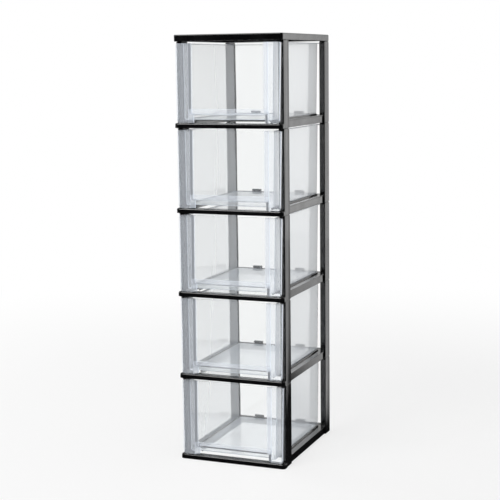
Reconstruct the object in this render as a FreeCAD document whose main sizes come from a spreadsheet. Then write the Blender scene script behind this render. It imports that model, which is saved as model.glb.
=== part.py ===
import FreeCAD, Part
import Sketcher
import math
import os

# A drawer tower of clear plastic drawers in a stacked open frame.
# Frame of the part: +X to the right of someone facing it, -Y to the front, +Z up,
# origin on the floor under the middle of the whole tower. Every length is in millimetres.

tierCount = 5
underRibCount = 6
barRibCount = 5
barRibShare = 0.8
lidRibShares = [0.2, 0.4, 0.6, 0.8]

lengths = {
    # whole tower
    "tierPitch": 207.0,  # floor of one tier to the floor of the next
    "frameWidth": 276.0,  # over the outer faces of the posts
    "frameDepth": 337.0,  # front face of the front posts to rear face of the rear posts
    "frameWall": 2.5,
    "fitGap": 0.3,  # round every plug and tongue
    "overrun": 20.0,  # how far every cut runs past what it cuts
    # posts, channels open to the inside
    "postWidth": 14.0,
    "frontPostDepth": 38.0,
    "rearPostDepth": 36.0,
    "postRound": 2.0,
    "shoulderRound": 5.0,
    "plugWidth": 5.0,
    "plugDepth": 18.0,
    "plugHeight": 9.0,
    # side rails, channels open downwards
    "railInset": 4.0,  # rail face behind the posts' outer face
    "railHeight": 19.5,
    "ledgeWidth": 38.0,
    "flangeDrop": 9.0,
    "lipHeight": 2.5,
    "lipReach": 1.2,
    "underRibWall": 1.6,
    "guideHeight": 3.0,
    "guideWall": 2.0,
    "guideGap": 1.0,  # drawer side to guide
    # front bar
    "barSideReach": 1.8,  # past the posts' outer faces
    "barReach": 16.5,  # ahead of the posts
    "barHeight": 12.0,
    "barCorner": 9.0,
    "barTopRound": 4.0,
    "barLowRound": 1.2,
    "tongueWidth": 6.0,
    "tongueHeight": 6.0,
    "tongueReach": 8.0,
    # rear bar
    "rearBarDepth": 12.0,
    "rearTongueReach": 5.0,
    "rearStopWidth": 24.0,
    "rearStopHeight": 9.0,
    # lid
    "lidHeight": 16.0,
    "lidSideReach": 1.7,
    "lidFrontReach": 11.5,
    "lidRearInset": 2.0,
    "lidCorner": 6.0,
    "lidTopRound": 2.5,
    "trayRim": 9.0,
    "trayDepth": 1.2,
    "trayCorner": 5.0,
    "lidRibWall": 1.6,
    "lidRibDepth": 2.5,
    "socketWall": 2.0,
    # drawer front
    "panelTopGap": 4.5,
    "panelLowGap": 0.6,
    "panelTopReach": 9.0,
    "panelLowReach": 13.0,
    "panelSideInset": 2.9,  # from the posts' outer faces, at the panel's top
    "panelSideDraw": 2.0,  # how much each side draws in towards the panel's foot
    "panelWall": 2.4,
    "panelTopCorner": 4.0,
    "panelLowCorner": 7.0,
    "returnDepth": 6.5,
    "returnWall": 1.8,
    "columnWidth": 33.0,
    "slopeWidth": 9.0,
    "plateauProud": 3.5,
    "gripHeight": 33.0,  # panel's low edge to the plateau's low edge
    "bandHeight": 13.0,
    "bandSlope": 3.0,
    "gripSetback": 8.5,
    "gripLedgeDrop": 2.0,
    "gripShort": 0.4,
    # drawer tub
    "tubSideGap": 7.0,  # to the posts' inner faces
    "tubRearGap": 20.0,  # to the rear face of the rear posts
    "tubTopGap": 6.5,
    "tubWall": 2.0,
    "tubFloor": 2.4,
    "tubDraw": 2.4,  # how much each wall draws in towards the floor
    "tubCorner": 12.0,
    "tubLowRound": 5.0,
    "rimReach": 5.0,
    "rimWall": 2.0,
    "runGap": 0.3,  # tub floor to ledge
    "drawerTravel": 255.0,
    "stopGap": 0.5,
    "stopWidth": 16.0,
    "stopWall": 3.0,
    "stopDrop": 13.0,
    "stopSpacing": 120.0,
}


class Size:
    # a length with the expression that it comes from, so that a sum of sizes can be bound
    def __init__(self, value, text):
        self.value = value
        self.text = text

    def join(self, sign, other, result):
        return Size(result, f"({self.text} {sign} {textOf(other)})")

    def __add__(self, other):
        return self.join("+", other, self.value + valueOf(other))

    def __sub__(self, other):
        return self.join("-", other, self.value - valueOf(other))

    def __mul__(self, other):
        return self.join("*", other, self.value * valueOf(other))

    def __truediv__(self, other):
        return self.join("/", other, self.value / valueOf(other))

    def __neg__(self):
        return self * -1

    def __rmul__(self, other):
        return self * other


def valueOf(item):
    return item.value if isinstance(item, Size) else item


def textOf(item):
    return item.text if isinstance(item, Size) else f"({item})"


def angleOf(rise, run):
    return Size(math.degrees(math.atan2(rise.value, run.value)), f"atan({rise.text} / {run.text})")


class Sizes:
    # every length of the sheet by its name
    def __init__(self, sheet, table):
        for row, (name, value) in enumerate(table.items(), start=1):
            sheet.set(f"A{row}", name)
            sheet.set(f"B{row}", str(value))
            sheet.setAlias(f"B{row}", name)
            setattr(self, name, Size(value, f"{sheet.Name}.{name}"))


doc = FreeCAD.newDocument("DrawerTower")
sheet = doc.addObject("Spreadsheet::Sheet", "Sizes")
s = Sizes(sheet, lengths)
doc.recompute()
zero = Size(0.0, "0")
planes = {"XY": "XY_Plane", "XZ": "XZ_Plane", "YZ": "YZ_Plane"}

# Places that several pieces share
frontY = (s.barReach - s.frameDepth) / 2
rearY = frontY + s.frameDepth
halfFrame = s.frameWidth / 2
railFaceX = halfFrame - s.railInset
ledgeInnerX = railFaceX - s.ledgeWidth
postInnerX = halfFrame - s.postWidth
frontPostMidY = frontY + s.frontPostDepth / 2
rearPostMidY = rearY - s.rearPostDepth / 2
plugMidX = postInnerX + (s.postWidth - s.frameWall) / 2
halfBar = halfFrame + s.barSideReach
halfPanelTop = halfFrame - s.panelSideInset
halfPanelLow = halfPanelTop - s.panelSideDraw
halfTub = postInnerX - s.tubSideGap
towerTop = s.tierPitch * tierCount
rearBarFrontY = rearY - s.frameWall - s.rearBarDepth
rearBarMidY = rearBarFrontY + s.rearBarDepth / 2
rearStopY = rearY - s.tubRearGap + s.stopGap
frontTongue = [(plugMidX - s.tongueWidth / 2, (s.barHeight - s.tongueHeight) / 2),
               (plugMidX + s.tongueWidth / 2, (s.barHeight + s.tongueHeight) / 2)]
rearTongue = [(rearBarMidY - s.tongueWidth / 2, s.plugHeight + s.frameWall),
              (rearBarMidY + s.tongueWidth / 2, s.plugHeight + s.frameWall + s.tongueHeight)]


def bind(item, path, size):
    item.setExpression(path, size.text)


def startBody(label):
    body = doc.addObject("PartDesign::Body", label)
    body.Label = label
    return body


def addCopy(source, label, lift):
    # the same moulding again, in another tier
    body = startBody(label)
    copy = body.newObject("PartDesign::FeatureBase", f"{label}_copy")
    copy.BaseFeature = source
    bind(body, "Placement.Base.z", lift)
    return body


def addMirrored(source, label):
    # the same moulding for the other hand
    mirrored = doc.addObject("Part::Mirroring", label)
    mirrored.Label = label
    mirrored.Source = source
    mirrored.Normal = FreeCAD.Vector(1, 0, 0)
    return mirrored


def startSketch(body, name, plane, level=zero):
    # level is the place along the axis that the plane is square to
    sketch = body.newObject("Sketcher::SketchObject", f"{body.Name}_{name}")
    origin = [item for item in body.Origin.OriginFeatures if item.Role == planes[plane]]
    sketch.AttachmentSupport = [(origin[0], "")]
    sketch.MapMode = "FlatFace"
    bind(sketch, "AttachmentOffset.Base.z", -level if plane == "XZ" else level)
    return sketch


def addBound(sketch, size, *constraint):
    index = sketch.addConstraint(Sketcher.Constraint(*constraint, size.value))
    sketch.setExpression(f"Constraints[{index}]", size.text)


def arcEnds(sketch, arc, spot):
    # which end of the arc lies at the spot, and which one is the other
    atSpot, other = (sketch.getPoint(arc, end).distanceToPoint(spot) for end in (1, 2))
    return (1, 2) if atSpot < other else (2, 1)


def addOutline(sketch, points, radii=None):
    # a closed outline through the points; a corner with a radius gets a tangent arc
    count = len(points)
    spots = [FreeCAD.Vector(u.value, v.value, 0) for u, v in points]
    radii = radii or [None] * count
    starts, ends, arcs = [], [], []
    for i, radius in enumerate(radii):
        before = (spots[i - 1] - spots[i]).normalize()
        after = (spots[(i + 1) % count] - spots[i]).normalize()
        if radius is None:
            starts.append(spots[i])
            ends.append(spots[i])
            arcs.append(None)
            continue
        half = before.getAngle(after) / 2
        reach = radius.value / math.tan(half)
        bulge = (before + after).normalize() * (radius.value / math.sin(half) - radius.value)
        ends.append(spots[i] + before * reach)
        starts.append(spots[i] + after * reach)
        arcs.append(Part.Arc(ends[i], spots[i] + bulge, starts[i]))
    lines = []
    for i in range(count):
        lines.append(sketch.addGeometry(Part.LineSegment(starts[i], ends[(i + 1) % count]), False))
    marks = []
    for i, (u, v) in enumerate(points):
        before, after = lines[i - 1], lines[i]
        if arcs[i] is None:
            sketch.addConstraint(Sketcher.Constraint("Coincident", before, 2, after, 1))
            marks.append((after, 1))
        else:
            marks.append((sketch.addGeometry(Part.Point(spots[i]), True), 1))
            arc = sketch.addGeometry(arcs[i], False)
            arcStart, arcEnd = arcEnds(sketch, arc, ends[i])
            sketch.addConstraint(Sketcher.Constraint("PointOnObject", marks[i][0], 1, before))
            sketch.addConstraint(Sketcher.Constraint("PointOnObject", marks[i][0], 1, after))
            sketch.addConstraint(Sketcher.Constraint("Tangent", before, 2, arc, arcStart))
            sketch.addConstraint(Sketcher.Constraint("Tangent", after, 1, arc, arcEnd))
            addBound(sketch, radii[i], "Radius", arc)
        addBound(sketch, u, "DistanceX", -1, 1, *marks[i])
        addBound(sketch, v, "DistanceY", -1, 1, *marks[i])
    return sketch


def addCornerCut(sketch, y, z, way, radius):
    # what a round of that radius takes off a square corner of the outline
    outer = [(y - radius * way, z + radius), (y - radius * way, z - radius), (y, z - radius)]
    top = [(y + radius * way, z), (y + radius * way, z + radius)]
    points = outer + top
    spots = [FreeCAD.Vector(u.value, v.value, 0) for u, v in points]
    lines = []
    for i in (0, 1, 3, 4):
        lines.append(sketch.addGeometry(Part.LineSegment(spots[i], spots[(i + 1) % len(spots)]), False))
    middle = FreeCAD.Vector(spots[3].x, spots[2].y, 0)
    bend = (spots[2] + spots[3] - middle * 2).normalize() * radius.value
    arc = sketch.addGeometry(Part.Arc(spots[2], middle + bend, spots[3]), False)
    arcStart, arcEnd = arcEnds(sketch, arc, spots[2])
    chain = [(lines[0], 2, lines[1], 1), (lines[1], 2, arc, arcStart), (arc, arcEnd, lines[2], 1),
             (lines[2], 2, lines[3], 1), (lines[3], 2, lines[0], 1)]
    for link in chain:
        sketch.addConstraint(Sketcher.Constraint("Coincident", *link))
    marks = [(lines[0], 1), (lines[1], 1), (lines[1], 2), (lines[2], 1), (lines[3], 1)]
    for (u, v), mark in zip(points, marks):
        addBound(sketch, u, "DistanceX", -1, 1, *mark)
        addBound(sketch, v, "DistanceY", -1, 1, *mark)
    addBound(sketch, radius, "Radius", arc)


def rectangle(low, high):
    return [(low[0], low[1]), (high[0], low[1]), (high[0], high[1]), (low[0], high[1])]


def addPad(body, sketch, length, backward=False, both=False):
    # a pad of an XZ sketch runs to the front, of an XY one up, of a YZ one to the right
    pad = body.newObject("PartDesign::Pad", f"{sketch.Name}_pad")
    pad.Profile = sketch
    bind(pad, "Length", length)
    pad.Midplane = both
    pad.Reversed = backward
    return pad


def addPocket(body, sketch, depth=None, backward=False, both=False):
    # a pocket cuts the other way from the pad of the same sketch
    pocket = body.newObject("PartDesign::Pocket", f"{sketch.Name}_pocket")
    pocket.Profile = sketch
    pocket.Midplane = both
    pocket.Reversed = backward
    if depth is None:
        pocket.Type = "ThroughAll"
    else:
        bind(pocket, "Length", depth)
    return pocket


def addLoft(body, sketches, kind="PartDesign::AdditiveLoft"):
    loft = body.newObject(kind, f"{sketches[0].Name}_loft")
    loft.Profile = sketches[0]
    loft.Sections = sketches[1:]
    loft.Ruled = True
    return loft


def addRibs(body, sketch, rib, count, span, backward=False):
    # equal ribs along the line square to the first one's sketch
    doc.recompute()
    pattern = body.newObject("PartDesign::LinearPattern", f"{rib.Name}_row")
    pattern.Originals = [rib]
    pattern.Direction = (sketch, ["N_Axis"])
    pattern.Reversed = backward
    pattern.Occurrences = count
    bind(pattern, "Length", span)
    body.Tip = pattern


def plugOutline(middleY, extra):
    low = (plugMidX - s.plugWidth / 2, middleY - s.plugDepth / 2)
    high = (plugMidX + s.plugWidth / 2, middleY + s.plugDepth / 2)
    return grown(low, high, extra)


def addFillet(body, name, radius, chosen):
    doc.recompute()
    base = body.Tip
    edges = [f"Edge{i}" for i, edge in enumerate(base.Shape.Edges, start=1) if chosen(edge)]
    fillet = body.newObject("PartDesign::Fillet", f"{body.Name}_{name}")
    fillet.Base = (base, edges)
    bind(fillet, "Radius", radius)
    return fillet


def near(value, size):
    return abs(value - size.value) < s.fitGap.value


def sided(side, points):
    # mirrors an outline for the left side
    return [(u * side, v) for u, v in points]


def grown(low, high, extra):
    # a rectangle with a gap or a wall all round
    return rectangle((low[0] - extra, low[1] - extra), (high[0] + extra, high[1] + extra))


# Side frame: two channel posts joined at the foot by a channel rail
def makeSideFrame(label):
    body = startBody(label)
    wall = s.frameWall
    rearPostY = rearY - s.rearPostDepth
    frontPostEndY = frontY + s.frontPostDepth
    posts = [(frontY, frontPostEndY), (rearPostY, rearY)]

    rail = startSketch(body, "rail", "XZ", frontPostMidY)
    wallX = railFaceX - wall
    flangeX = ledgeInnerX + wall
    ledgeLow = s.railHeight - wall
    flangeLow = s.railHeight - s.flangeDrop
    lipX = railFaceX + s.lipReach
    lipLow = s.railHeight - s.lipHeight
    addOutline(rail, [
        (railFaceX, zero), (railFaceX, lipLow), (lipX, lipLow), (lipX, s.railHeight),
        (ledgeInnerX, s.railHeight), (ledgeInnerX, flangeLow), (flangeX, flangeLow),
        (flangeX, ledgeLow), (wallX, ledgeLow), (wallX, zero)])
    addPad(body, rail, rearPostMidY - frontPostMidY, backward=True)

    guide = startSketch(body, "guide", "XY", s.railHeight)
    guideX = halfTub - s.tubDraw + s.guideGap
    addOutline(guide, rectangle((guideX, frontPostEndY), (guideX + s.guideWall, rearPostY)))
    addPad(body, guide, s.guideHeight)

    channel = startSketch(body, "posts", "XY")
    foot = startSketch(body, "feet", "XY")
    cap = startSketch(body, "caps", "XY", s.tierPitch - wall)
    plug = startSketch(body, "plugs", "XY", s.tierPitch - wall)
    socket = startSketch(body, "sockets", "XY")
    for low, high in posts:
        addOutline(channel, [
            (postInnerX, low), (halfFrame, low), (halfFrame, high), (postInnerX, high),
            (postInnerX, high - wall), (halfFrame - wall, high - wall),
            (halfFrame - wall, low + wall), (postInnerX, low + wall)])
        within = rectangle((postInnerX, low + wall / 2), (halfFrame - wall / 2, high - wall / 2))
        addOutline(foot, within)
        addOutline(cap, within)
        addOutline(plug, plugOutline((low + high) / 2, zero))
        addOutline(socket, plugOutline((low + high) / 2, s.fitGap))
    addPad(body, channel, s.tierPitch)
    addPad(body, foot, s.railHeight)
    addPad(body, cap, wall)
    addPad(body, plug, s.plugHeight + wall)
    addPocket(body, socket, s.plugHeight + s.fitGap, backward=True)

    # rounded shoulders at the top of the outer face
    shoulder = startSketch(body, "shoulders", "YZ")
    for low, high in posts:
        addCornerCut(shoulder, low, s.tierPitch, 1, s.shoulderRound)
        addCornerCut(shoulder, high, s.tierPitch, -1, s.shoulderRound)
    addPocket(body, shoulder, both=True)

    frontSlot = startSketch(body, "frontSlot", "XZ", frontY)
    addOutline(frontSlot, grown(*frontTongue, s.fitGap))
    addPocket(body, frontSlot, s.tongueReach + s.fitGap)
    rearSlot = startSketch(body, "rearSlot", "YZ", postInnerX)
    addOutline(rearSlot, grown(*rearTongue, s.fitGap))
    addPocket(body, rearSlot, s.rearTongueReach + s.fitGap, backward=True)

    def atOuterFace(edge):
        box = edge.BoundBox
        return near(box.XMin, halfFrame) and near(box.XMax, halfFrame) and edge.CenterOfMass.z > wall.value

    addFillet(body, "faceEdges", s.postRound, atOuterFace)

    rib = startSketch(body, "rib", "XZ", frontPostEndY)
    addOutline(rib, rectangle((ledgeInnerX, flangeLow), (railFaceX - wall / 2, s.railHeight)))
    addRibs(body, rib, addPad(body, rib, s.underRibWall, backward=True), underRibCount,
            rearPostY - frontPostEndY - s.underRibWall, backward=True)
    return body


# Front bar: a channel open downwards, with rounded ends and a tongue into each post
def makeFrontBar(label):
    body = startBody(label)
    half = halfBar
    front = frontY - s.barReach
    block = startSketch(body, "block", "XY")
    addOutline(block, rectangle((-half, front), (half, frontY)), [s.barCorner, s.barCorner, None, None])
    addPad(body, block, s.barHeight)

    def frontEdge(edge, level):
        box = edge.BoundBox
        flat = near(box.ZMin, level) and near(box.ZMax, level)
        return flat and edge.CenterOfMass.y < frontY.value - s.fitGap.value

    addFillet(body, "topEdge", s.barTopRound, lambda edge: frontEdge(edge, s.barHeight))
    addFillet(body, "lowEdge", s.barLowRound, lambda edge: frontEdge(edge, zero))

    hollow = startSketch(body, "hollow", "XY")
    inner = s.barCorner - s.frameWall
    low = (s.frameWall - half, front + s.frameWall)
    high = (half - s.frameWall, frontY - s.frameWall)
    addOutline(hollow, rectangle(low, high), [inner, inner, None, None])
    addPocket(body, hollow, s.barHeight - s.frameWall, backward=True)

    rib = startSketch(body, "rib", "YZ", -half * barRibShare - s.underRibWall / 2)
    low = (front + s.frameWall / 2, s.barLowRound)
    high = (frontY - s.frameWall / 2, s.barHeight - s.frameWall / 2)
    addOutline(rib, rectangle(low, high))
    addRibs(body, rib, addPad(body, rib, s.underRibWall), barRibCount, half * 2 * barRibShare)

    tongue = startSketch(body, "tongues", "XZ", frontY - s.frameWall / 2)
    for side in (1, -1):
        addOutline(tongue, sided(side, rectangle(*frontTongue)))
    addPad(body, tongue, s.tongueReach + s.frameWall / 2, backward=True)
    return body


# Rear bar: a channel open downwards between the rear posts, with two stops for the drawer
def makeRearBar(label):
    body = startBody(label)
    low = rearBarFrontY
    high = rearBarFrontY + s.rearBarDepth
    wall = s.frameWall
    top = s.railHeight
    section = startSketch(body, "section", "YZ")
    addOutline(section, [
        (low, zero), (low + wall, zero), (low + wall, top - wall), (high - wall, top - wall),
        (high - wall, zero), (high, zero), (high, top), (low, top)])
    addPad(body, section, postInnerX * 2, both=True)

    for side in (1, -1):
        end = startSketch(body, f"end{side + 1}", "YZ", postInnerX * side)
        addOutline(end, rectangle((low + wall / 2, s.barLowRound), (high - wall / 2, top - wall / 2)))
        addPad(body, end, wall, backward=side > 0)
        tongue = startSketch(body, f"tongue{side + 1}", "YZ", (postInnerX - wall / 2) * side)
        addOutline(tongue, rectangle(*rearTongue))
        addPad(body, tongue, s.rearTongueReach + wall / 2, backward=side < 0)
        stop = startSketch(body, f"stop{side + 1}", "YZ", (s.stopSpacing / 2 - s.rearStopWidth / 2) * side)
        stopTop = top + s.rearStopHeight
        addOutline(stop, [
            (low + wall / 2, top - wall / 2), (low + wall, top - wall / 2),
            (low + wall, stopTop), (rearStopY, stopTop), (rearStopY, stopTop - wall)])
        addPad(body, stop, s.rearStopWidth, backward=side < 0)
    return body


# Lid: a shallow shell with a tray top, ribbed below, with a socket over each post
def makeLid(label, lift):
    body = startBody(label)
    bind(body, "Placement.Base.z", lift)
    half = halfFrame + s.lidSideReach
    front = frontY - s.lidFrontReach
    rear = rearY - s.lidRearInset
    wall = s.frameWall
    block = startSketch(body, "block", "XY")
    addOutline(block, rectangle((-half, front), (half, rear)), [s.lidCorner] * 4)
    addPad(body, block, s.lidHeight)
    addFillet(body, "topEdge", s.lidTopRound, lambda edge: near(edge.BoundBox.ZMin, s.lidHeight))
    addFillet(body, "lowEdge", s.barLowRound, lambda edge: near(edge.BoundBox.ZMax, zero))

    tray = startSketch(body, "tray", "XY", s.lidHeight)
    inset = s.trayRim
    low = (inset - half, front + inset)
    high = (half - inset, rear - inset)
    addOutline(tray, rectangle(low, high), [s.trayCorner] * 4)
    addPocket(body, tray, s.trayDepth)

    ceiling = s.lidHeight - s.trayDepth - wall
    hollow = startSketch(body, "hollow", "XY")
    low = (wall - half, front + wall)
    high = (half - wall, rear - wall)
    addOutline(hollow, rectangle(low, high), [s.lidCorner - wall] * 4)
    addPocket(body, hollow, ceiling, backward=True)

    # ribs under the top, a grid that stops short of the rim's low edge
    ribLow = ceiling - s.lidRibDepth
    across = startSketch(body, "across", "XY", ribLow)
    along = startSketch(body, "along", "XY", ribLow)
    for share in lidRibShares:
        place = front + (rear - front) * share
        addOutline(across, rectangle((wall / 2 - half, place), (half - wall / 2, place + s.lidRibWall)))
        place = half * 2 * share - half
        addOutline(along, rectangle((place, front + wall / 2), (place + s.lidRibWall, rear - wall / 2)))
    addPad(body, across, s.lidRibDepth + wall / 2)
    addPad(body, along, s.lidRibDepth + wall / 2)

    boss = startSketch(body, "bosses", "XY")
    socket = startSketch(body, "sockets", "XY")
    for middleY in (frontPostMidY, rearPostMidY):
        for side in (1, -1):
            addOutline(boss, sided(side, plugOutline(middleY, s.fitGap + s.socketWall)))
            addOutline(socket, sided(side, plugOutline(middleY, s.fitGap)))
    addPad(body, boss, ceiling + wall / 2)
    addPocket(body, socket, s.plugHeight + s.fitGap, backward=True)
    return body


# Drawer: one clear moulding, a tub whose front wall is a shaped panel with a finger grip
def makeDrawer(label):
    body = startBody(label)
    floorZ = s.railHeight + s.runGap
    rimZ = s.tierPitch - s.tubTopGap
    low = s.barHeight + s.panelLowGap
    high = s.tierPitch - s.panelTopGap
    lean = (s.panelLowReach - s.panelTopReach) / (high - low)
    wall = s.panelWall
    openY = frontY - s.panelLowReach

    def columnReach(level):
        return s.panelTopReach + lean * (high - level)

    draft = angleOf(s.tubDraw, rimZ - floorZ)

    def tubOutline(name, level, inset):
        sketch = startSketch(body, name, "XY", level)
        half = halfTub - inset
        points = rectangle((-half, openY), (half, rearY - s.tubRearGap - inset))
        corner = s.tubCorner - inset
        return addOutline(sketch, points, [None, None, corner, corner])

    # tub outside, then its cavity, both drawn in towards the floor
    outside = addPad(body, tubOutline("outside", floorZ, s.tubDraw), rimZ - floorZ)
    bind(outside, "TaperAngle", draft)

    def atLevel(edge, level):
        return near(edge.BoundBox.ZMin, level) and near(edge.BoundBox.ZMax, level)

    def floorEdge(edge, level):
        return atLevel(edge, level) and edge.CenterOfMass.y > openY.value + s.fitGap.value

    addFillet(body, "floorEdges", s.tubLowRound, lambda edge: floorEdge(edge, floorZ))
    innerFloor = floorZ + s.tubFloor
    within = tubOutline("cavity", innerFloor, s.tubDraw + s.tubWall)
    cavity = addPocket(body, within, rimZ - innerFloor, backward=True)
    bind(cavity, "TaperAngle", draft)
    addFillet(body, "cavityEdges", s.tubLowRound - s.tubWall, lambda edge: floorEdge(edge, innerFloor))

    # rim turned outwards round three sides
    rim = startSketch(body, "rim", "XY", rimZ - s.rimWall)
    out = halfTub + s.rimReach
    inside = halfTub - s.tubWall
    back = rearY - s.tubRearGap
    start = frontY - s.panelTopReach + wall / 2
    inner = s.tubCorner - s.tubWall
    outer = s.tubCorner + s.rimReach
    addOutline(rim, [
        (out, start), (out, back + s.rimReach), (-out, back + s.rimReach), (-out, start),
        (-inside, start), (-inside, back - s.tubWall), (inside, back - s.tubWall), (inside, start)],
        [None, outer, outer, None, None, inner, inner, None])
    addPad(body, rim, s.rimWall)

    # the tub ends in the middle of the front wall, also where that wall steps back
    trim = startSketch(body, "trim", "YZ")
    topY = frontY - s.panelTopReach + wall / 2
    lowY = frontY - s.panelLowReach + wall / 2
    addOutline(trim, [(topY, high), (lowY, low), (lowY - s.overrun, low), (topY - s.overrun, high)])
    addPocket(body, trim, both=True)

    plateauHalf = halfPanelTop - s.columnWidth - s.slopeWidth
    slopeHalf = plateauHalf + s.slopeWidth
    bandTop = low + s.gripHeight
    bandLow = bandTop - s.bandHeight
    ledgeLow = bandLow - s.gripLedgeDrop
    stations = [(-slopeHalf, 0), (-plateauHalf, 1), (plateauHalf, 1), (slopeHalf, 0)]

    recess = []
    for i, (place, form) in enumerate(stations):
        sketch = startSketch(body, f"recess{i}", "YZ", place)
        back = frontY - columnReach(ledgeLow) + s.gripSetback * form + wall / 2
        addOutline(sketch, rectangle((back - s.overrun, low), (back, ledgeLow + wall / 2)))
        recess.append(sketch)
    addLoft(body, recess, "PartDesign::SubtractiveLoft")

    # front wall: columns at the sides, a plateau between them and the grip under it
    sheets = []
    for i, (place, form) in enumerate([(-halfPanelTop, 0)] + stations + [(halfPanelTop, 0)]):
        sketch = startSketch(body, f"sheet{i}", "YZ", place)
        levels = [high, bandTop, bandLow, ledgeLow, low + s.gripShort * form]
        proud = s.plateauProud
        steps = [proud, proud, proud - s.bandSlope, -s.gripSetback, -s.gripSetback]
        face = [(frontY - columnReach(level) - step * form, level) for level, step in zip(levels, steps)]
        rises = [zero, zero, wall, wall, zero]
        rear = [(y + wall, z + rise) for (y, z), rise in zip(face, rises)]
        addOutline(sketch, face + rear[::-1])
        sheets.append(sketch)
    addLoft(body, sheets)

    for side in (1, -1):
        turned = []
        for name, level, half in [("low", low, halfPanelLow), ("high", high, halfPanelTop)]:
            sketch = startSketch(body, f"{name}Return{side + 1}", "XY", level)
            face = frontY - columnReach(level)
            points = rectangle((half - s.returnWall, face + wall / 2), (half, face + s.returnDepth))
            addOutline(sketch, sided(side, points))
            turned.append(sketch)
        addLoft(body, turned)

    outline = startSketch(body, "outline", "XZ")
    addOutline(outline, grown((-halfPanelTop, low), (halfPanelTop, high), s.overrun))
    addOutline(outline, [
        (-halfPanelLow, low), (halfPanelLow, low), (halfPanelTop, high), (-halfPanelTop, high)],
        [s.panelLowCorner, s.panelLowCorner, s.panelTopCorner, s.panelTopCorner])
    addPocket(body, outline, both=True)

    # stops under the floor, which meet the front bar when the drawer is out
    stop = startSketch(body, "stops", "XY", floorZ - s.stopDrop)
    place = frontY + s.drawerTravel + s.stopGap
    for side in (1, -1):
        inner = (s.stopSpacing - s.stopWidth) / 2
        addOutline(stop, sided(side, rectangle((inner, place), (inner + s.stopWidth, place + s.stopWall))))
    addPad(body, stop, s.stopDrop + s.tubFloor / 2)
    return body


makers = {
    "side_frame_right": makeSideFrame,
    "front_bar": makeFrontBar,
    "rear_bar": makeRearBar,
    "drawer": makeDrawer,
}
nodes = []
for name, make in makers.items():
    first = make(f"{name}_1")
    nodes.append(first)
    for tier in range(2, tierCount + 1):
        nodes.append(addCopy(first, f"{name}_{tier}", s.tierPitch * (tier - 1)))
for body in nodes[:tierCount]:
    nodes.append(addMirrored(body, body.Label.replace("right", "left")))
nodes.append(makeLid("lid", towerTop))
doc.recompute()

for item in doc.Objects:
    if "Invalid" in item.State or "Error" in item.State:
        raise RuntimeError(f"{item.Name} failed: {item.State}")
for body in nodes:
    if body.Shape.isNull() or not body.Shape.isValid() or len(body.Shape.Solids) != 1:
        raise RuntimeError(f"{body.Label} is not one valid solid")

os.makedirs("parts", exist_ok=True)
for body in nodes:
    body.Shape.exportStep(f"parts/{body.Label}.step")
    print(f"{body.Label} {body.Shape.Volume:.0f} mm3")
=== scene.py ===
import bmesh
import bpy
import math
from mathutils import Matrix, Vector


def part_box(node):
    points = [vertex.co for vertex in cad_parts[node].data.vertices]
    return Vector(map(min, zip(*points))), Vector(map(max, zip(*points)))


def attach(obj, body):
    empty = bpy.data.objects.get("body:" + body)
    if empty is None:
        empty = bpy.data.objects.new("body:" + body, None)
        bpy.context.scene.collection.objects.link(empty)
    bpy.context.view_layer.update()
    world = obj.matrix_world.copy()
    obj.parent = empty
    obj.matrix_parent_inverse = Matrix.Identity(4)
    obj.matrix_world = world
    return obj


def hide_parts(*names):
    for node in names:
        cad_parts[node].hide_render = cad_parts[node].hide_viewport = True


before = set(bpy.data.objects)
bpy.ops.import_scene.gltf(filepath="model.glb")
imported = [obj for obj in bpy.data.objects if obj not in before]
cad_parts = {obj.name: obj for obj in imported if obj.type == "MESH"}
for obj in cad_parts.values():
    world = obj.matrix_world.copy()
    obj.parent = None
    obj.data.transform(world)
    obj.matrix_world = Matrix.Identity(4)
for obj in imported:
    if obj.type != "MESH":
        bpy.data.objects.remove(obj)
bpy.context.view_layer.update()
print("frame loaded:", len(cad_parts), "nodes")

# Everything is in metres, +X to the right of someone facing the tower, -Y to the front, +Z up.
# The pieces of the lowest tier are built first and copied up by tierPitch.
mm = 0.001
tierCount = 5
mergeGap = 0.01 * mm  # points closer than this are one
drawerLow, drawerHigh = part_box("drawer_1")
postLow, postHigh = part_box("side_frame_right_1")
barLow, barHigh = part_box("front_bar_1")
rearBarLow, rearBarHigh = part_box("rear_bar_1")
lidLow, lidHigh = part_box("lid")
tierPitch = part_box("drawer_2")[0].z - drawerLow.z
frontY = postLow.y  # front faces of the posts
rearY = postHigh.y


# Shader maths: a wrapped socket whose arithmetic adds Math nodes
class Socket:
    def __init__(self, shader, output):
        self.shader = shader
        self.output = output

    def math(self, operation, first, second=0.0):
        return self.shader.node("ShaderNodeMath", {"operation": operation}, {0: first, 1: second})

    def __add__(self, other):
        return self.math("ADD", self, other)

    def __radd__(self, other):
        return self.math("ADD", other, self)

    def __sub__(self, other):
        return self.math("SUBTRACT", self, other)

    def __rsub__(self, other):
        return self.math("SUBTRACT", other, self)

    def __mul__(self, other):
        return self.math("MULTIPLY", self, other)

    def __rmul__(self, other):
        return self.math("MULTIPLY", other, self)

    def __truediv__(self, other):
        return self.math("DIVIDE", self, other)

    def __abs__(self):
        return self.math("ABSOLUTE", self)

    def __mod__(self, other):
        return self.math("FLOORED_MODULO", self, other)

    def root(self):
        return self.math("SQRT", self)

    def larger(self, other):
        return self.math("MAXIMUM", self, other)

    def over(self, level, blur):
        # 0 below the level, 1 above it, with a soft step as wide as blur
        step = {"interpolation_type": "SMOOTHSTEP"}
        sockets = {"Value": self, "From Min": level - blur / 2, "From Max": level + blur / 2}
        return self.shader.node("ShaderNodeMapRange", step, sockets)


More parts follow.
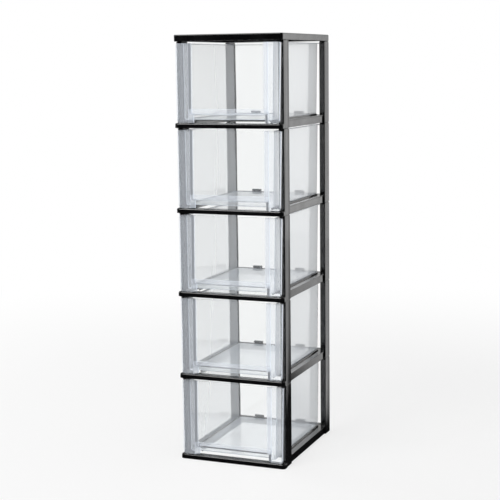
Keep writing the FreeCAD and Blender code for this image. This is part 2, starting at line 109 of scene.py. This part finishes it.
class Shader:
    def __init__(self, tree):
        self.tree = tree
        self.tree.nodes.clear()

    def node(self, kind, settings=None, sockets=None, output=0):
        # settings are set first, then the sockets get their values or links
        item = self.tree.nodes.new(kind)
        for name, value in (settings or {}).items():
            setattr(item, name, value)
        for name, value in (sockets or {}).items():
            if isinstance(value, Socket):
                self.tree.links.new(value.output, item.inputs[name])
            else:
                item.inputs[name].default_value = value
        return Socket(self, item.outputs[output])

    def place(self, scale=(1, 1, 1)):
        # object coordinates, stretched where a pattern runs one way
        coordinates = self.node("ShaderNodeTexCoord", output="Object")
        return self.node("ShaderNodeMapping", {}, {"Vector": coordinates, "Scale": scale})

    def axes(self):
        coordinates = self.node("ShaderNodeTexCoord", output="Object")
        return [self.node("ShaderNodeSeparateXYZ", {}, {0: coordinates}, output=name) for name in "XYZ"]

    def noise(self, scale, detail, stretch=(1, 1, 1)):
        sockets = {"Vector": self.place(stretch), "Scale": scale, "Detail": detail}
        return self.node("ShaderNodeTexNoise", {}, sockets)

    def mixColour(self, factor, first, second):
        return self.node("ShaderNodeMix", {"data_type": "RGBA"}, {0: factor, 6: first, 7: second}, output=2)

    def bump(self, height):
        # height in metres
        return self.node("ShaderNodeBump", {}, {"Height": height, "Strength": 1.0, "Distance": 1.0})

    def join(self, surface, kind="ShaderNodeOutputMaterial"):
        item = self.tree.nodes.new(kind)
        self.tree.links.new(surface.output, item.inputs["Surface"])


def newMaterial(name):
    material = bpy.data.materials.new(name)
    material.use_nodes = True
    return material, Shader(material.node_tree)


# Finishes
blackFinish = {
    "colour": (0.002, 0.002, 0.0023, 1),
    "smudge": (0.004, 0.004, 0.0045, 1),
    "index": 1.59,
    "coat": 0.45,
    "coatRoughness": 0.05,
    "roughness": 0.12,
    "smudgeRoughness": 0.10,
    "smudgeScale": 22.0,
    "smudgeDetail": 4.0,
    "smudgeLevel": 0.55,  # of the noise, over which a place is smudged
    "smudgeBlur": 0.3,
    "ripple": 14.0,  # slow waves that a moulded wall has
    "rippleDetail": 1.0,
    "rippleHeight": 0.12 * mm,
    "grain": 2600.0,
    "grainDetail": 2.0,
    "grainHeight": 0.006 * mm,
    "lidGrain": 6,  # times as high on the lid
    "sink": 2.75,  # how hollow the posts' outer faces are, by the square of the way from their middle
    "frontMiddle": 19.0 * mm,  # middle of the front post, from the front
    "rearMiddle": 18.0 * mm,  # middle of the rear post, from the rear
    "skin": 1 * mm,  # how far in from the outer face the hollow is drawn
}


def makeBlack(name, grainHeight, hollow=False):
    look = blackFinish
    material, shader = newMaterial(name)
    smudges = shader.noise(look["smudgeScale"], look["smudgeDetail"])
    smudges = smudges.over(look["smudgeLevel"], look["smudgeBlur"])
    ripples = shader.noise(look["ripple"], look["rippleDetail"])
    grain = shader.noise(look["grain"], look["grainDetail"])
    height = ripples * look["rippleHeight"] + grain * grainHeight
    if hollow:
        x, y, z = shader.axes()
        front = y - (frontY + look["frontMiddle"])
        rear = y - (rearY - look["rearMiddle"])
        isRear = y.over(0.0, look["skin"])
        away = front * (1 - isRear) + rear * isRear
        outer = abs(x).over(postHigh.x - look["skin"], look["skin"] / 2)
        height = height + away * away * outer * look["sink"]
    surface = shader.node("ShaderNodeBsdfPrincipled", {}, {
        "Base Color": shader.mixColour(smudges, look["colour"], look["smudge"]),
        "Roughness": smudges * look["smudgeRoughness"] + look["roughness"],
        "IOR": look["index"],
        "Coat Weight": look["coat"],
        "Coat Roughness": look["coatRoughness"],
        "Coat IOR": look["index"],
        "Normal": shader.bump(height)})
    shader.join(surface)
    return material


clearFinish = {
    "tint": (0.972, 0.978, 0.975, 1),
    "haze": (0.84, 0.89, 0.97, 1),
    "index": 1.47,
    "roughness": 0.02,
    "hazeRoughness": 0.3,
    "streakScale": 60.0,
    "streakDetail": 3.0,
    "streak": (1.0, 1.0, 0.06),  # flow lines run up the wall
    "streakHeight": 0.06 * mm,
    "wave": 9.0,
    "waveDetail": 1.0,
    "waveHeight": 0.4 * mm,
}


def makeClear(name, haze, streaks=1.0):
    # haze takes the shader and gives how milky each place is; on the slopes and bevelled edges that milk is
    # a painted highlight
    look = clearFinish
    material, shader = newMaterial(name)
    flow = shader.noise(look["streakScale"], look["streakDetail"], look["streak"])
    waves = shader.noise(look["wave"], look["waveDetail"])
    height = flow * (look["streakHeight"] * streaks) + waves * look["waveHeight"]
    normal = shader.bump(height)
    glass = shader.node("ShaderNodeBsdfPrincipled", {}, {
        "Base Color": look["tint"],
        "Roughness": look["roughness"],
        "IOR": look["index"],
        "Transmission Weight": 1.0,
        "Normal": normal})
    milkAndHighlight = shader.node("ShaderNodeBsdfPrincipled", {}, {
        "Base Color": look["haze"],
        "Roughness": look["hazeRoughness"],
        "IOR": look["index"],
        "Normal": normal})
    body = shader.node("ShaderNodeMixShader", {}, {0: haze(shader, flow), 1: glass, 2: milkAndHighlight})
    # lamps shine through, as they do through a real clear wall
    through = shader.node("ShaderNodeBsdfTransparent", {}, {"Color": look["tint"]})
    shadow = shader.node("ShaderNodeLightPath", output="Is Shadow Ray")
    surface = shader.node("ShaderNodeMixShader", {}, {0: shadow, 1: body, 2: through})
    shader.join(surface)
    return material


# Helpers for meshes
def allEdges(bm, chosen):
    return [edge for edge in bm.edges if chosen(edge)]


def bevelEdges(bm, edges, width, segments, mark=None):
    done = bmesh.ops.bevel(bm, geom=edges, offset=width, offset_type="OFFSET", segments=segments,
                           profile=0.5, affect="EDGES", clamp_overlap=True, material=-1)
    if mark is not None:
        for face in done["faces"]:
            face.material_index = mark


def isSharp(edge, degrees):
    return edge.is_manifold and edge.calc_face_angle() > math.radians(degrees)


def addBox(bm, low, high):
    made = bmesh.ops.create_cube(bm, size=1.0)
    middle = [(a + b) / 2 for a, b in zip(low, high)]
    span = [b - a for a, b in zip(low, high)]
    bmesh.ops.scale(bm, vec=span, verts=made["verts"])
    bmesh.ops.translate(bm, vec=middle, verts=made["verts"])
    return made["verts"]


def facing(bm, direction, least=0.99):
    # least is the cosine of the widest turn away from that direction
    way = Vector(direction)
    bm.normal_update()
    return [face for face in bm.faces if face.normal.dot(way) > least]


def finishMesh(bm, name, materials, smoothAngle=40):
    bmesh.ops.recalc_face_normals(bm, faces=bm.faces)
    mesh = bpy.data.meshes.new(name)
    bm.to_mesh(mesh)
    bm.free()
    for material in materials:
        mesh.materials.append(material)
    mesh.shade_smooth()
    mesh.set_sharp_from_angle(angle=math.radians(smoothAngle))
    return mesh


def addPiece(mesh, name, body, lift=0.0, replaced=()):
    copy = mesh.copy() if lift else mesh
    copy.transform(Matrix.Translation((0, 0, lift)))
    piece = bpy.data.objects.new(name, copy)
    bpy.context.scene.collection.objects.link(piece)
    weighted = piece.modifiers.new("weighted", "WEIGHTED_NORMAL")
    weighted.keep_sharp = True
    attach(piece, body)
    if replaced:
        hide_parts(*replaced)


# Drawer front: a sheet of stations across and rows down, which gets its wall at the end
panel = {
    "wall": 2.4 * mm,
    "lowGap": 0.6 * mm,  # over the front bar
    "topReach": 9.0 * mm,
    "lowReach": 13.0 * mm,
    "sideDraw": 2.0 * mm,
    "topCorner": 4.0 * mm,
    "lowCorner": 7.0 * mm,
    "returnDepth": 6.5 * mm,
    "columnWidth": 33.0 * mm,
    "slopeWidth": 9.0 * mm,
    "proud": 3.5 * mm,
    "gripHeight": 33.0 * mm,
    "bandHeight": 13.0 * mm,
    "bandSlope": 3.0 * mm,
    "setback": 8.5 * mm,
    "ledgeDrop": 2.0 * mm,
    "gripShort": 0.4 * mm,
    "fieldCorner": 9.0 * mm,  # lower corners of the raised field
    "crease": 1.3 * mm,  # rounding of every bend
    "creaseTurn": 12,  # degrees from which a bend is rounded
    "creaseSteps": 3,
    "edge": 0.6 * mm,
    "edgeTurn": 60,
    "edgeSteps": 2,
    "slopeSteps": 6,
    "cornerSteps": 5,
    "slack": 0.1 * mm,
}
panelTop = drawerHigh.z
panelFoot = barHigh.z + panel["lowGap"]
halfTop = drawerHigh.x
fieldHalf = halfTop - panel["columnWidth"] - panel["slopeWidth"]
slopeHalf = fieldHalf + panel["slopeWidth"]


def columnY(z):
    share = (panelTop - z) / (panelTop - panelFoot)
    return frontY - panel["topReach"] - (panel["lowReach"] - panel["topReach"]) * share


def sideHalf(z):
    return halfTop - panel["sideDraw"] * (panelTop - z) / (panelTop - panelFoot)


def fieldForm(x):
    # 1 on the raised field, 0 on the columns
    return min(1.0, max(0.0, (slopeHalf - abs(x)) / panel["slopeWidth"]))


def arcRise(share):
    # height of a quarter circle of radius 1 above its lowest point
    return 1 - math.sqrt(max(0.0, 1 - share * share))


def panelStations():
    places = [0.0, fieldHalf * 0.5, fieldHalf]
    steps = panel["slopeSteps"]
    places += [fieldHalf + panel["slopeWidth"] * i / steps for i in range(1, steps + 1)]
    places.append(slopeHalf + panel["columnWidth"] / 2)
    corner = panel["lowCorner"]
    turns = [math.pi / 2 * i / panel["cornerSteps"] for i in range(panel["cornerSteps"] + 1)]
    places += [halfTop - corner * (1 - math.sin(turn)) for turn in turns]
    return [-x for x in places[:0:-1]] + places


def panelRows(x):
    # (level, step forwards) of each row at that station, from the top down
    form = fieldForm(x)
    toCorner = max(0.0, abs(x) - (halfTop - panel["lowCorner"])) / panel["lowCorner"]
    toTopCorner = max(0.0, abs(x) - (halfTop - panel["topCorner"])) / panel["topCorner"]
    lift = panel["fieldCorner"] * arcRise(1 - form)
    top = panelTop - panel["topCorner"] * arcRise(toTopCorner)
    foot = panelFoot + panel["lowCorner"] * arcRise(toCorner) + panel["gripShort"] * form
    bandTop = panelFoot + panel["gripHeight"] + lift
    bandFoot = bandTop - panel["bandHeight"]
    ledge = bandFoot - panel["ledgeDrop"]
    proud = panel["proud"]
    return [
        (top, proud), (panelTop - panel["topCorner"] * 2, proud), (bandTop, proud),
        (bandFoot, proud - panel["bandSlope"]), (ledge, -panel["setback"]), (foot, -panel["setback"])]


def makePanel():
    bm = bmesh.new()
    stations = panelStations()
    rowCount = len(panelRows(0.0))
    bmesh.ops.create_grid(bm, x_segments=len(stations) - 1, y_segments=rowCount - 1, size=1.0)
    across = sorted({round(vert.co.x, 5) for vert in bm.verts})
    down = sorted({round(vert.co.y, 5) for vert in bm.verts}, reverse=True)
    for vert in bm.verts:
        x = stations[across.index(round(vert.co.x, 5))]
        level, step = panelRows(x)[down.index(round(vert.co.y, 5))]
        outer = max(0.0, abs(x) - slopeHalf) / (halfTop - slopeHalf)
        narrowed = x - math.copysign(outer * (halfTop - sideHalf(level)), x)
        vert.co = (narrowed, columnY(level) - step * fieldForm(x), level)
    edgeX = max(vert.co.x for vert in bm.verts) - panel["sideDraw"] - panel["slack"]
    sides = allEdges(bm, lambda edge: edge.is_boundary
                     and all(abs(vert.co.x) > edgeX for vert in edge.verts)
                     and abs(edge.verts[0].co.z - edge.verts[1].co.z) > panel["crease"])
    turned = bmesh.ops.extrude_edge_only(bm, edges=sides)
    verts = [item for item in turned["geom"] if isinstance(item, bmesh.types.BMVert)]
    bmesh.ops.translate(bm, vec=(0, panel["returnDepth"], 0), verts=verts)
    bmesh.ops.recalc_face_normals(bm, faces=bm.faces)
    if facing(bm, (0, 1, 0), 0.9):
        bmesh.ops.reverse_faces(bm, faces=bm.faces)
    # rounded bends go to the second slot, whose milk is a painted highlight along the edges
    bends = allEdges(bm, lambda edge: isSharp(edge, panel["creaseTurn"]))
    bevelEdges(bm, bends, panel["crease"], panel["creaseSteps"], mark=1)
    bmesh.ops.solidify(bm, geom=bm.faces[:], thickness=panel["wall"])
    bmesh.ops.recalc_face_normals(bm, faces=bm.faces)
    # rounded rims also go to the second slot with the painted edge highlight
    rims = allEdges(bm, lambda edge: isSharp(edge, panel["edgeTurn"]))
    bevelEdges(bm, rims, panel["edge"], panel["edgeSteps"], mark=1)
    return finishMesh(bm, "drawer_front", [clearFront, clearEdgeHighlight])


# Drawer tub: walls drawn in towards the floor, open at the front where it meets the panel
tub = {
    "wall": 2.0 * mm,
    "sideGap": 18.1 * mm,  # to the panel's side edge
    "draw": 2.4 * mm,
    "corner": 12.0 * mm,
    "cornerSteps": 8,
    "lowRound": 5.0 * mm,
    "lowSteps": 5,
    "rimReach": 5.0 * mm,
    "rimDrop": 2.0 * mm,  # rim under the panel's top
    "edge": 0.5 * mm,
    "edgeTurn": 50,  # degrees from which an edge is rounded
    "edgeSteps": 2,
    "underBar": 9.0 * mm,  # ledge the drawer runs on, under the rear bar's top
    "runGap": 0.3 * mm,
    "joint": 0.05 * mm,
    "stopWidth": 16.0 * mm,
    "stopWall": 3.0 * mm,
    "stopSpacing": 120.0 * mm,
    "stopY": 95.25 * mm,
}
tubFloor = rearBarHigh.z - tub["underBar"] + tub["runGap"]
tubTop = drawerHigh.z - tub["rimDrop"]
tubHalf = halfTop - tub["sideGap"]
tubRear = drawerHigh.y - tub["rimReach"]


def panelBack(x, z):
    form = fieldForm(x)
    back = columnY(z) + panel["wall"]
    if z < panelFoot + panel["gripHeight"] - panel["bandHeight"]:
        back += panel["setback"] * form
    return back + tub["joint"]


def makeTub():
    bm = bmesh.new()
    openY = columnY(panelFoot)
    addBox(bm, (-tubHalf, openY, tubFloor), (tubHalf, tubRear, tubTop))
    bmesh.ops.delete(bm, geom=facing(bm, (0, 0, 1)) + facing(bm, (0, -1, 0)), context="FACES")
    for vert in bm.verts:
        if vert.co.z < (tubFloor + tubTop) / 2:
            vert.co.x -= math.copysign(tub["draw"], vert.co.x)
            vert.co.y -= tub["draw"] if vert.co.y > 0 else 0
    upright = allEdges(bm, lambda edge: edge.is_manifold
                       and abs(edge.verts[0].co.z - edge.verts[1].co.z) > tub["corner"])
    bevelEdges(bm, upright, tub["corner"], tub["cornerSteps"])
    low = allEdges(bm, lambda edge: edge.is_manifold
                   and all(vert.co.z < tubFloor + tub["wall"] for vert in edge.verts))
    bevelEdges(bm, low, tub["lowRound"], tub["lowSteps"])
    for x in (-slopeHalf, -fieldHalf, 0.0, fieldHalf, slopeHalf):
        bmesh.ops.bisect_plane(bm, geom=bm.verts[:] + bm.edges[:] + bm.faces[:], dist=mergeGap,
                               plane_co=(x, 0, 0), plane_no=(1, 0, 0))
    for vert in bm.verts:
        if abs(vert.co.y - openY) < 0.5 * mm:
            vert.co.y = panelBack(vert.co.x, vert.co.z)
    rim = allEdges(bm, lambda edge: edge.is_boundary
                   and all(vert.co.z > tubTop - mm for vert in edge.verts))
    grown = bmesh.ops.extrude_edge_only(bm, edges=rim)
    coreX = tubHalf - tub["corner"]
    coreY = tubRear - tub["corner"]
    for item in grown["geom"]:
        if isinstance(item, bmesh.types.BMVert):
            core = Vector((min(coreX, max(-coreX, item.co.x)), min(coreY, item.co.y), item.co.z))
            item.co += (item.co - core).normalized() * tub["rimReach"]
    bmesh.ops.recalc_face_normals(bm, faces=bm.faces)
    floor = [face for face in bm.faces
             if abs(face.normal.z) > 0.99 and face.calc_center_median().z < tubFloor + mm]
    if floor[0].normal.z > 0:
        bmesh.ops.reverse_faces(bm, faces=bm.faces)
    bmesh.ops.solidify(bm, geom=bm.faces[:], thickness=tub["wall"])
    bmesh.ops.recalc_face_normals(bm, faces=bm.faces)
    # rounded rims go to the second slot, whose milk is a painted highlight along the edges
    rimEdges = allEdges(bm, lambda edge: isSharp(edge, tub["edgeTurn"]))
    bevelEdges(bm, rimEdges, tub["edge"], tub["edgeSteps"], mark=1)
    for side in (1, -1):
        middle = tub["stopSpacing"] / 2 * side
        addBox(bm, (middle - tub["stopWidth"] / 2, tub["stopY"], drawerLow.z),
               (middle + tub["stopWidth"] / 2, tub["stopY"] + tub["stopWall"], tubFloor - tub["joint"]))
    return finishMesh(bm, "drawer_tub", [clearTub, clearEdgeHighlight])


# Black pieces keep the solid's own shape and get rounded edges
dressing = {
    "flatTurn": 1,  # degrees up to which faces are one plane
    "edgeTurn": 30,
    "edgeSteps": 2,
    "edgeWidths": {
        "side_frame_right": 0.7 * mm,
        "side_frame_left": 0.7 * mm,
        "front_bar": 0.35 * mm,
        "rear_bar": 0.35 * mm,
        "lid": 0.5 * mm,
    },
}


def makeDressed(node, name, material):
    bm = bmesh.new()
    bm.from_mesh(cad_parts[node].data)
    bmesh.ops.remove_doubles(bm, verts=bm.verts, dist=mergeGap)
    flatTurn = math.radians(dressing["flatTurn"])
    bmesh.ops.dissolve_limit(bm, angle_limit=flatTurn, verts=bm.verts, edges=bm.edges)
    edges = allEdges(bm, lambda edge: isSharp(edge, dressing["edgeTurn"]))
    bevelEdges(bm, edges, dressing["edgeWidths"][name], dressing["edgeSteps"])
    return finishMesh(bm, name, [material])


# Materials of the tower
frameBlack = makeBlack("frame_black", blackFinish["grainHeight"], True)
lidBlack = makeBlack("lid_black", blackFinish["grainHeight"] * blackFinish["lidGrain"])

# How milky the clear walls are: 0 is clear, 1 is all milk. The slope and edge shares are painted highlight,
# milk that stands in for bright lines of light
milkAndHighlight = {
    "field": 0.01,
    "column": 0.15,
    # painted highlight: milk on the slopes of the raised field for bright lines of light
    "slopeHighlight": 0.35,
    "band": 0.20,
    "columnBlur": 1.5 * mm,
    "blur": 1 * mm,
    "sideways": 0.42,
    "sidewaysTurn": 0.58,  # of Layer Weight's Facing, where a wall turns milky
    "sidewaysBlur": 0.3,
    "flow": 0.02,
    # painted highlight: milk on the bevelled edges for bright lines of light, with edgeFlow streaks in it
    "edge": 0.75,
    "edgeFlow": 0.1,
}


def frontHazeAndHighlight(shader, flow):
    x, y, z = shader.axes()
    column = abs(x).over(slopeHalf, milkAndHighlight["columnBlur"])
    level = z % tierPitch
    bandTop = panelFoot + panel["gripHeight"]
    bandFoot = bandTop - panel["bandHeight"]
    band = level.over(bandFoot, milkAndHighlight["blur"]) * (1 - level.over(bandTop, milkAndHighlight["blur"]))
    band = band * (1 - column)
    # the slopes of the raised field get extra milk, a painted highlight for the bright lines that light
    # draws along them
    slopeHighlight = abs(x).over(fieldHalf, milkAndHighlight["blur"]) * (1 - column)
    haze = milkAndHighlight["field"] + column * milkAndHighlight["column"] + slopeHighlight * milkAndHighlight["slopeHighlight"] + band * milkAndHighlight["band"]
    return haze + flow * milkAndHighlight["flow"]


def tubHaze(shader, flow):
    # the walls look milkier the more sideways they are seen
    turned = shader.node("ShaderNodeLayerWeight", {}, {"Blend": 0.5}, "Facing")
    sideways = turned.over(milkAndHighlight["sidewaysTurn"], milkAndHighlight["sidewaysBlur"])
    return sideways * milkAndHighlight["sideways"] + flow * milkAndHighlight["flow"]


# the bevelled edges are milky all over, a painted highlight for the bright lines that light draws along
# clear edges
def edgeHighlightMilk(shader, flow):
    return milkAndHighlight["edge"] + flow * milkAndHighlight["edgeFlow"]


clearFront = makeClear("drawer_front_clear", frontHazeAndHighlight)
clearTub = makeClear("drawer_tub_clear", tubHaze)
clearEdgeHighlight = makeClear("drawer_edge_painted_highlight", edgeHighlightMilk, 0.0)
print("materials made")

# Pieces
frontMesh = makePanel()
tubMesh = makeTub()
for tier in range(1, tierCount + 1):
    lift = tierPitch * (tier - 1)
    addPiece(frontMesh, f"drawer_front_{tier}", f"drawer_{tier}", lift, [f"drawer_{tier}"])
    addPiece(tubMesh, f"drawer_tub_{tier}", f"drawer_{tier}", lift, [f"drawer_{tier}"])
print("drawers made")

for name in ["side_frame_right", "side_frame_left", "front_bar", "rear_bar"]:
    mesh = makeDressed(f"{name}_1", name, frameBlack)
    for tier in range(1, tierCount + 1):
        lift = tierPitch * (tier - 1)
        addPiece(mesh, f"{name}_{tier}_body", "root", lift, [f"{name}_{tier}"])
addPiece(makeDressed("lid", "lid", lidBlack), "lid_body", "root", 0.0, ["lid"])
print("frame made")

# Studio
studio = {
    "floorSize": 40.0,
    "floorGrey": (0.9, 0.9, 0.9, 1),
    "shown": 0.72,  # share of plain white that the floor in view has near the tower
    "clearing": 1.6,  # how far out the floor turns all white
    "clearingBlur": 1.8,
    "floorDrop": 0.5 * mm,
    "white": (1, 1, 1, 1),
    "fill": 0.55,  # soft light from all round
    "mirroredFloor": 1.0,
    "backdrop": 1.05,  # what glossy faces mirror of the room straight behind
    "dark": 0.015,
    "turnAway": 0.89,  # cosine of the turn where the mirrored room goes dark
    "turnBlur": 0.16,
    "duskTurn": 0.944,  # cosine of the turn inside which the mirrored room dims again
    "duskBlur": 0.012,
    "dusk": 0.5,
}


def mirroredLevel(x, y, most):
    # glossy faces see a dark room beyond about 35 degrees from straight behind the tower, a pale one
    # nearer to that, and a dimmer one straight behind
    straight = y / (x * x + y * y).root()
    level = straight.over(studio["turnAway"], studio["turnBlur"]) * (most - studio["dark"]) + studio["dark"]
    return level * (1 - straight.over(studio["duskTurn"], studio["duskBlur"]) * studio["dusk"])


def shownShares(shader):
    # what the camera sees, also through clear walls, and what glossy faces mirror
    seen = shader.node("ShaderNodeLightPath", output="Is Camera Ray")
    passed = shader.node("ShaderNodeLightPath", output="Is Transmission Ray")
    return seen.larger(passed), shader.node("ShaderNodeLightPath", output="Is Glossy Ray")


def makeFloor():
    bm = bmesh.new()
    bmesh.ops.create_grid(bm, x_segments=1, y_segments=1, size=studio["floorSize"] / 2)
    mesh = bpy.data.meshes.new("floor")
    bm.to_mesh(mesh)
    bm.free()
    material, shader = newMaterial("floor_white")
    x, y, z = shader.axes()
    far = (x * x + y * y).root().over(studio["clearing"], studio["clearingBlur"])
    shown, mirrored = shownShares(shader)
    plain = shader.node("ShaderNodeBsdfDiffuse", {}, {"Color": studio["floorGrey"]})
    strength = shown.larger(mirroredLevel(x, y, studio["mirroredFloor"]))
    white = shader.node("ShaderNodeEmission", {}, {"Strength": strength})
    share = (shown * (far * (1 - studio["shown"]) + studio["shown"])).larger(mirrored)
    shader.join(shader.node("ShaderNodeMixShader", {}, {0: share, 1: plain, 2: white}))
    mesh.materials.append(material)
    floor = bpy.data.objects.new("floor", mesh)
    bpy.context.scene.collection.objects.link(floor)
    floor.location.z = -studio["floorDrop"]


def makeWorld():
    world = bpy.data.worlds.new("studio")
    bpy.context.scene.world = world
    world.use_nodes = True
    shader = Shader(world.node_tree)
    direction = shader.node("ShaderNodeTexCoord", output="Generated")
    x, y, z = [shader.node("ShaderNodeSeparateXYZ", {}, {0: direction}, output=name) for name in "XYZ"]
    shown, mirrored = shownShares(shader)
    level = mirroredLevel(x, y, studio["backdrop"])
    strength = mirrored * level + (1 - mirrored) * studio["fill"]
    strength = shown + (1 - shown) * strength
    room = shader.node("ShaderNodeBackground", {}, {"Color": studio["white"], "Strength": strength})
    shader.join(room, "ShaderNodeOutputWorld")


softboxes = {
    "back_right": {"place": (1.75, 3.3, 1.0), "size": (1.3, 2.4), "power": 3},
    "left": {"place": (-2.6, 0.25, 0.9), "size": (0.45, 2.0), "power": 12},
    "key": {"place": (-0.9, -2.3, 3.0), "size": (1.8, 1.4), "power": 50},
}


def makeSoftbox(name, box):
    light = bpy.data.lights.new(name, "AREA")
    light.shape = "RECTANGLE"
    light.size, light.size_y = box["size"]
    light.energy = box["power"]
    lamp = bpy.data.objects.new(name, light)
    bpy.context.scene.collection.objects.link(lamp)
    lamp.location = box["place"]
    middle = Vector((0, 0, lidHigh.z / 2))
    lamp.rotation_euler = (middle - lamp.location).to_track_quat("-Z", "Y").to_euler()
    lamp.visible_camera = False
    lamp.visible_transmission = False


view = {
    "place": (1.173, -2.950, 0.984),
    "turn": 21.96,
    "tilt": -8.48,
    "roll": -0.71,
    "lens": 90.74,
    "sensor": 36.0,
}


def makeCamera():
    lens = bpy.data.cameras.new("camera")
    lens.lens = view["lens"]
    lens.sensor_width = view["sensor"]
    camera = bpy.data.objects.new("camera", lens)
    bpy.context.scene.collection.objects.link(camera)
    turn = Matrix.Rotation(math.radians(view["turn"]), 4, "Z")
    tilt = Matrix.Rotation(math.radians(90 + view["tilt"]), 4, "X")
    roll = Matrix.Rotation(math.radians(view["roll"]), 4, "Z")
    camera.matrix_world = Matrix.Translation(view["place"]) @ turn @ tilt @ roll
    bpy.context.scene.camera = camera


makeFloor()
makeWorld()
for name, box in softboxes.items():
    makeSoftbox(name, box)
makeCamera()
bpy.context.scene.view_settings.view_transform = "Standard"
print("studio made")
